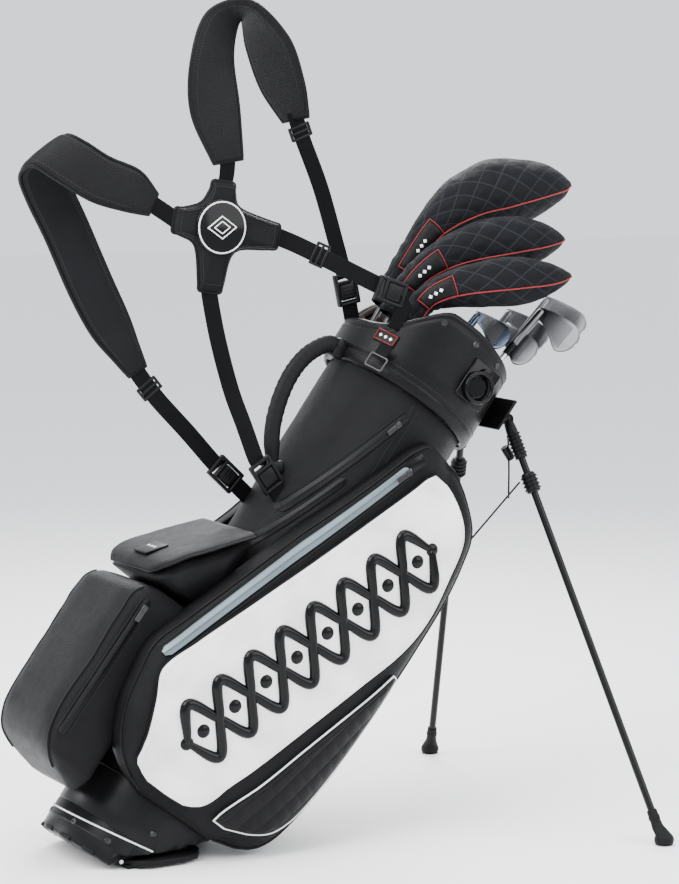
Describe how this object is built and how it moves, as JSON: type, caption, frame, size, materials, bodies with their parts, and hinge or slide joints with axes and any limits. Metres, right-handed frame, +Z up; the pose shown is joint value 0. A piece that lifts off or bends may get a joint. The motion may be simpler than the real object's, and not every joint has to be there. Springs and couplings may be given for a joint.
{
  "type": "golf club set in a stand bag",
  "caption": "Golf clubs in a black stand bag with a white side panel, leaning on two folding legs, its double shoulder strap held up.",
  "frame": {"origin": "centre of the foot plate's underside, on the floor", "axes": "+Z up, +X towards the legs, the way the bag leans, -Y towards the side with the white panel"},
  "size_m": [0.9406, 0.6998, 1.2015],
  "materials": {
    "coated_fabric": "coated woven bag fabric, soft sheen",
    "white_leather": "white grained leatherette",
    "moulding": "fine-grained moulded plastic",
    "rubber": "moulded rubber",
    "fleece": "short-pile fleece",
    "grey_zip": "water-resistant coated zip tape",
    "pull_metal": "dark plated zip pull",
    "black_leg": "glossy black anodised tube",
    "bright_steel": "polished plated steel",
    "satin_steel": "satin club steel",
    "dark_steel": "dark plated club steel",
    "graphite": "gloss lacquered graphite",
    "cover_fabric": "quilted knitted cover",
    "webbing": "ribbed woven webbing",
    "mesh_pad": "air-mesh over foam"
  },
  "bodies": {
    "bag": {"bag_body": "coated_fabric", "ball_pocket": "coated_fabric", "base_boot": "moulding", "base_hinge_pin": "bright_steel", "cuff_lining": "fleece", "divider_grid": "fleece", "far_low_buckle": "moulding", "far_low_web": "webbing", "far_shoulder_pad": "mesh_pad", "far_side_pocket": "coated_fabric", "far_top_buckle": "moulding", "far_top_web": "webbing", "grab_handle": "rubber", "hip_panel": "coated_fabric", "leg_bracket": "moulding", "near_low_buckle": "moulding", "near_low_web": "webbing", "near_shoulder_pad": "mesh_pad", "near_side_pocket": "coated_fabric", "near_top_buckle": "moulding", "near_top_web": "webbing", "rain_zip": "grey_zip", "spine_stay": "graphite", "strap_hub": "moulding", "top_cuff": "moulding", "valuables_pocket": "coated_fabric", "white_panel": "white_leather"},
    "foot": {"foot_plate": "rubber"},
    "near_leg": {"near_leg_elbow": "moulding", "near_leg_tube": "black_leg", "near_leg_foot": "rubber", "pull_cord": "webbing"},
    "far_leg": {"far_leg_elbow": "moulding", "far_leg_tube": "black_leg", "far_leg_foot": "rubber"},
    "near_wire": {"near_push_wire": "bright_steel"},
    "far_wire": {"far_push_wire": "bright_steel"},
    "pocket_flap": {"valuables_flap": "coated_fabric"},
    "towel_loop": {"towel_ring": "moulding"},
    "accessory_loop": {"accessory_ring": "moulding"},
    "rain_pull": {"rain_zip_pull": "pull_metal"},
    "upper_pull": {"upper_zip_pull": "pull_metal"},
    "ball_pull": {"ball_zip_pull": "pull_metal"},
    "lock": {"cord_lock": "moulding"},
    "driver": {"driver_cover": "cover_fabric", "driver_shaft": "graphite"},
    "fairway": {"fairway_cover": "cover_fabric", "fairway_shaft": "graphite"},
    "hybrid": {"hybrid_cover": "cover_fabric", "hybrid_shaft": "graphite"},
    "utility_iron": {"utility_iron_shaft": "bright_steel", "utility_iron_head": "dark_steel"},
    "long_iron": {"long_iron_shaft": "bright_steel", "long_iron_head": "satin_steel"},
    "middle_iron": {"middle_iron_shaft": "bright_steel", "middle_iron_head": "satin_steel"},
    "short_iron": {"short_iron_shaft": "bright_steel", "short_iron_head": "satin_steel"},
    "wedge": {"wedge_shaft": "bright_steel", "wedge_head": "satin_steel"}
  },
  "joints": [
    {"name": "base_hinge", "type": "hinge", "parent": "bag", "child": "foot", "pos_m": [-0.058, 0, 0.0115], "axis": [0, 1, 0], "range_deg": [0, 37.5]},
    {"name": "near_leg_fold", "type": "hinge", "parent": "bag", "child": "near_leg", "pos_m": [0.58492, -0.063, 0.5898], "axis": [0.4849, 0.8221, -0.2983], "range_deg": [0, 49.5]},
    {"name": "near_wire_pivot", "type": "hinge", "parent": "near_leg", "child": "near_wire", "pos_m": [0.58481, -0.09852, 0.50116], "axis": [-0.4849, -0.8221, 0.2983], "range_deg": [0, 57]},
    {"name": "far_leg_fold", "type": "hinge", "parent": "bag", "child": "far_leg", "pos_m": [0.58492, 0.063, 0.5898], "axis": [-0.4849, 0.8221, 0.2983], "range_deg": [0, 49.5]},
    {"name": "far_wire_pivot", "type": "hinge", "parent": "far_leg", "child": "far_wire", "pos_m": [0.58481, 0.09852, 0.50116], "axis": [0.4849, -0.8221, -0.2983], "range_deg": [0, 57]},
    {"name": "flap_hinge", "type": "hinge", "parent": "bag", "child": "pocket_flap", "pos_m": [0.15896, 0, 0.45028], "axis": [0, 1, 0], "range_deg": [0, 70]},
    {"name": "towel_ring_swing", "type": "hinge", "parent": "bag", "child": "towel_loop", "pos_m": [0.50953, -0.1295, 0.66404], "axis": [-0.7934, 0, 0.6088], "range_deg": [0, 150]},
    {"name": "accessory_ring_swing", "type": "hinge", "parent": "bag", "child": "accessory_loop", "pos_m": [0.35487, -0.0905, 0.69574], "axis": [-0.476, 0.8, 0.3653], "range_deg": [0, 120]},
    {"name": "rain_zip_slide", "type": "slide", "parent": "bag", "child": "rain_pull", "axis": [-0.8543, 0.01, -0.5197], "range_m": [0, 0.38]},
    {"name": "upper_zip_slide", "type": "slide", "parent": "bag", "child": "upper_pull", "axis": [-0.8165, 0.0965, -0.5692], "range_m": [0, 0.08]},
    {"name": "ball_zip_slide", "type": "slide", "parent": "bag", "child": "ball_pull", "axis": [-0.6088, 0, -0.7934], "range_m": [0, 0.17]},
    {"name": "cord_lock_slide", "type": "slide", "parent": "near_leg", "child": "lock", "axis": [-0.2359, -0.432, -0.8705], "range_m": [-0.012, 0.03]},
    {"name": "driver_draw", "type": "slide", "parent": "bag", "child": "driver", "axis": [0.5591, -0.02, 0.8289], "range_m": [0, 0.9]},
    {"name": "fairway_draw", "type": "slide", "parent": "bag", "child": "fairway", "axis": [0.5842, -0.0381, 0.8107], "range_m": [0, 0.9]},
    {"name": "hybrid_draw", "type": "slide", "parent": "bag", "child": "hybrid", "axis": [0.6036, -0.0665, 0.7945], "range_m": [0, 0.85]},
    {"name": "utility_iron_draw", "type": "slide", "parent": "bag", "child": "utility_iron", "axis": [0.6896, 0.0078, 0.7242], "range_m": [0, 0.06]},
    {"name": "long_iron_draw", "type": "slide", "parent": "bag", "child": "long_iron", "axis": [0.6977, 0.0285, 0.7159], "range_m": [0, 0.53]},
    {"name": "middle_iron_draw", "type": "slide", "parent": "bag", "child": "middle_iron", "axis": [0.7135, -0.0084, 0.7006], "range_m": [0, 0.54]},
    {"name": "short_iron_draw", "type": "slide", "parent": "bag", "child": "short_iron", "axis": [0.6898, 0.0053, 0.724], "range_m": [0, 0.035]},
    {"name": "wedge_draw", "type": "slide", "parent": "bag", "child": "wedge", "axis": [0.6899, 0.0275, 0.7234], "range_m": [0, 0.38]}
  ],
  "couplings": [
    {"joint": "near_leg_fold", "follows": "base_hinge", "ratio": 1.32},
    {"joint": "near_wire_pivot", "follows": "base_hinge", "ratio": 1.52},
    {"joint": "far_leg_fold", "follows": "base_hinge", "ratio": 1.32},
    {"joint": "far_wire_pivot", "follows": "base_hinge", "ratio": 1.52}
  ]
}
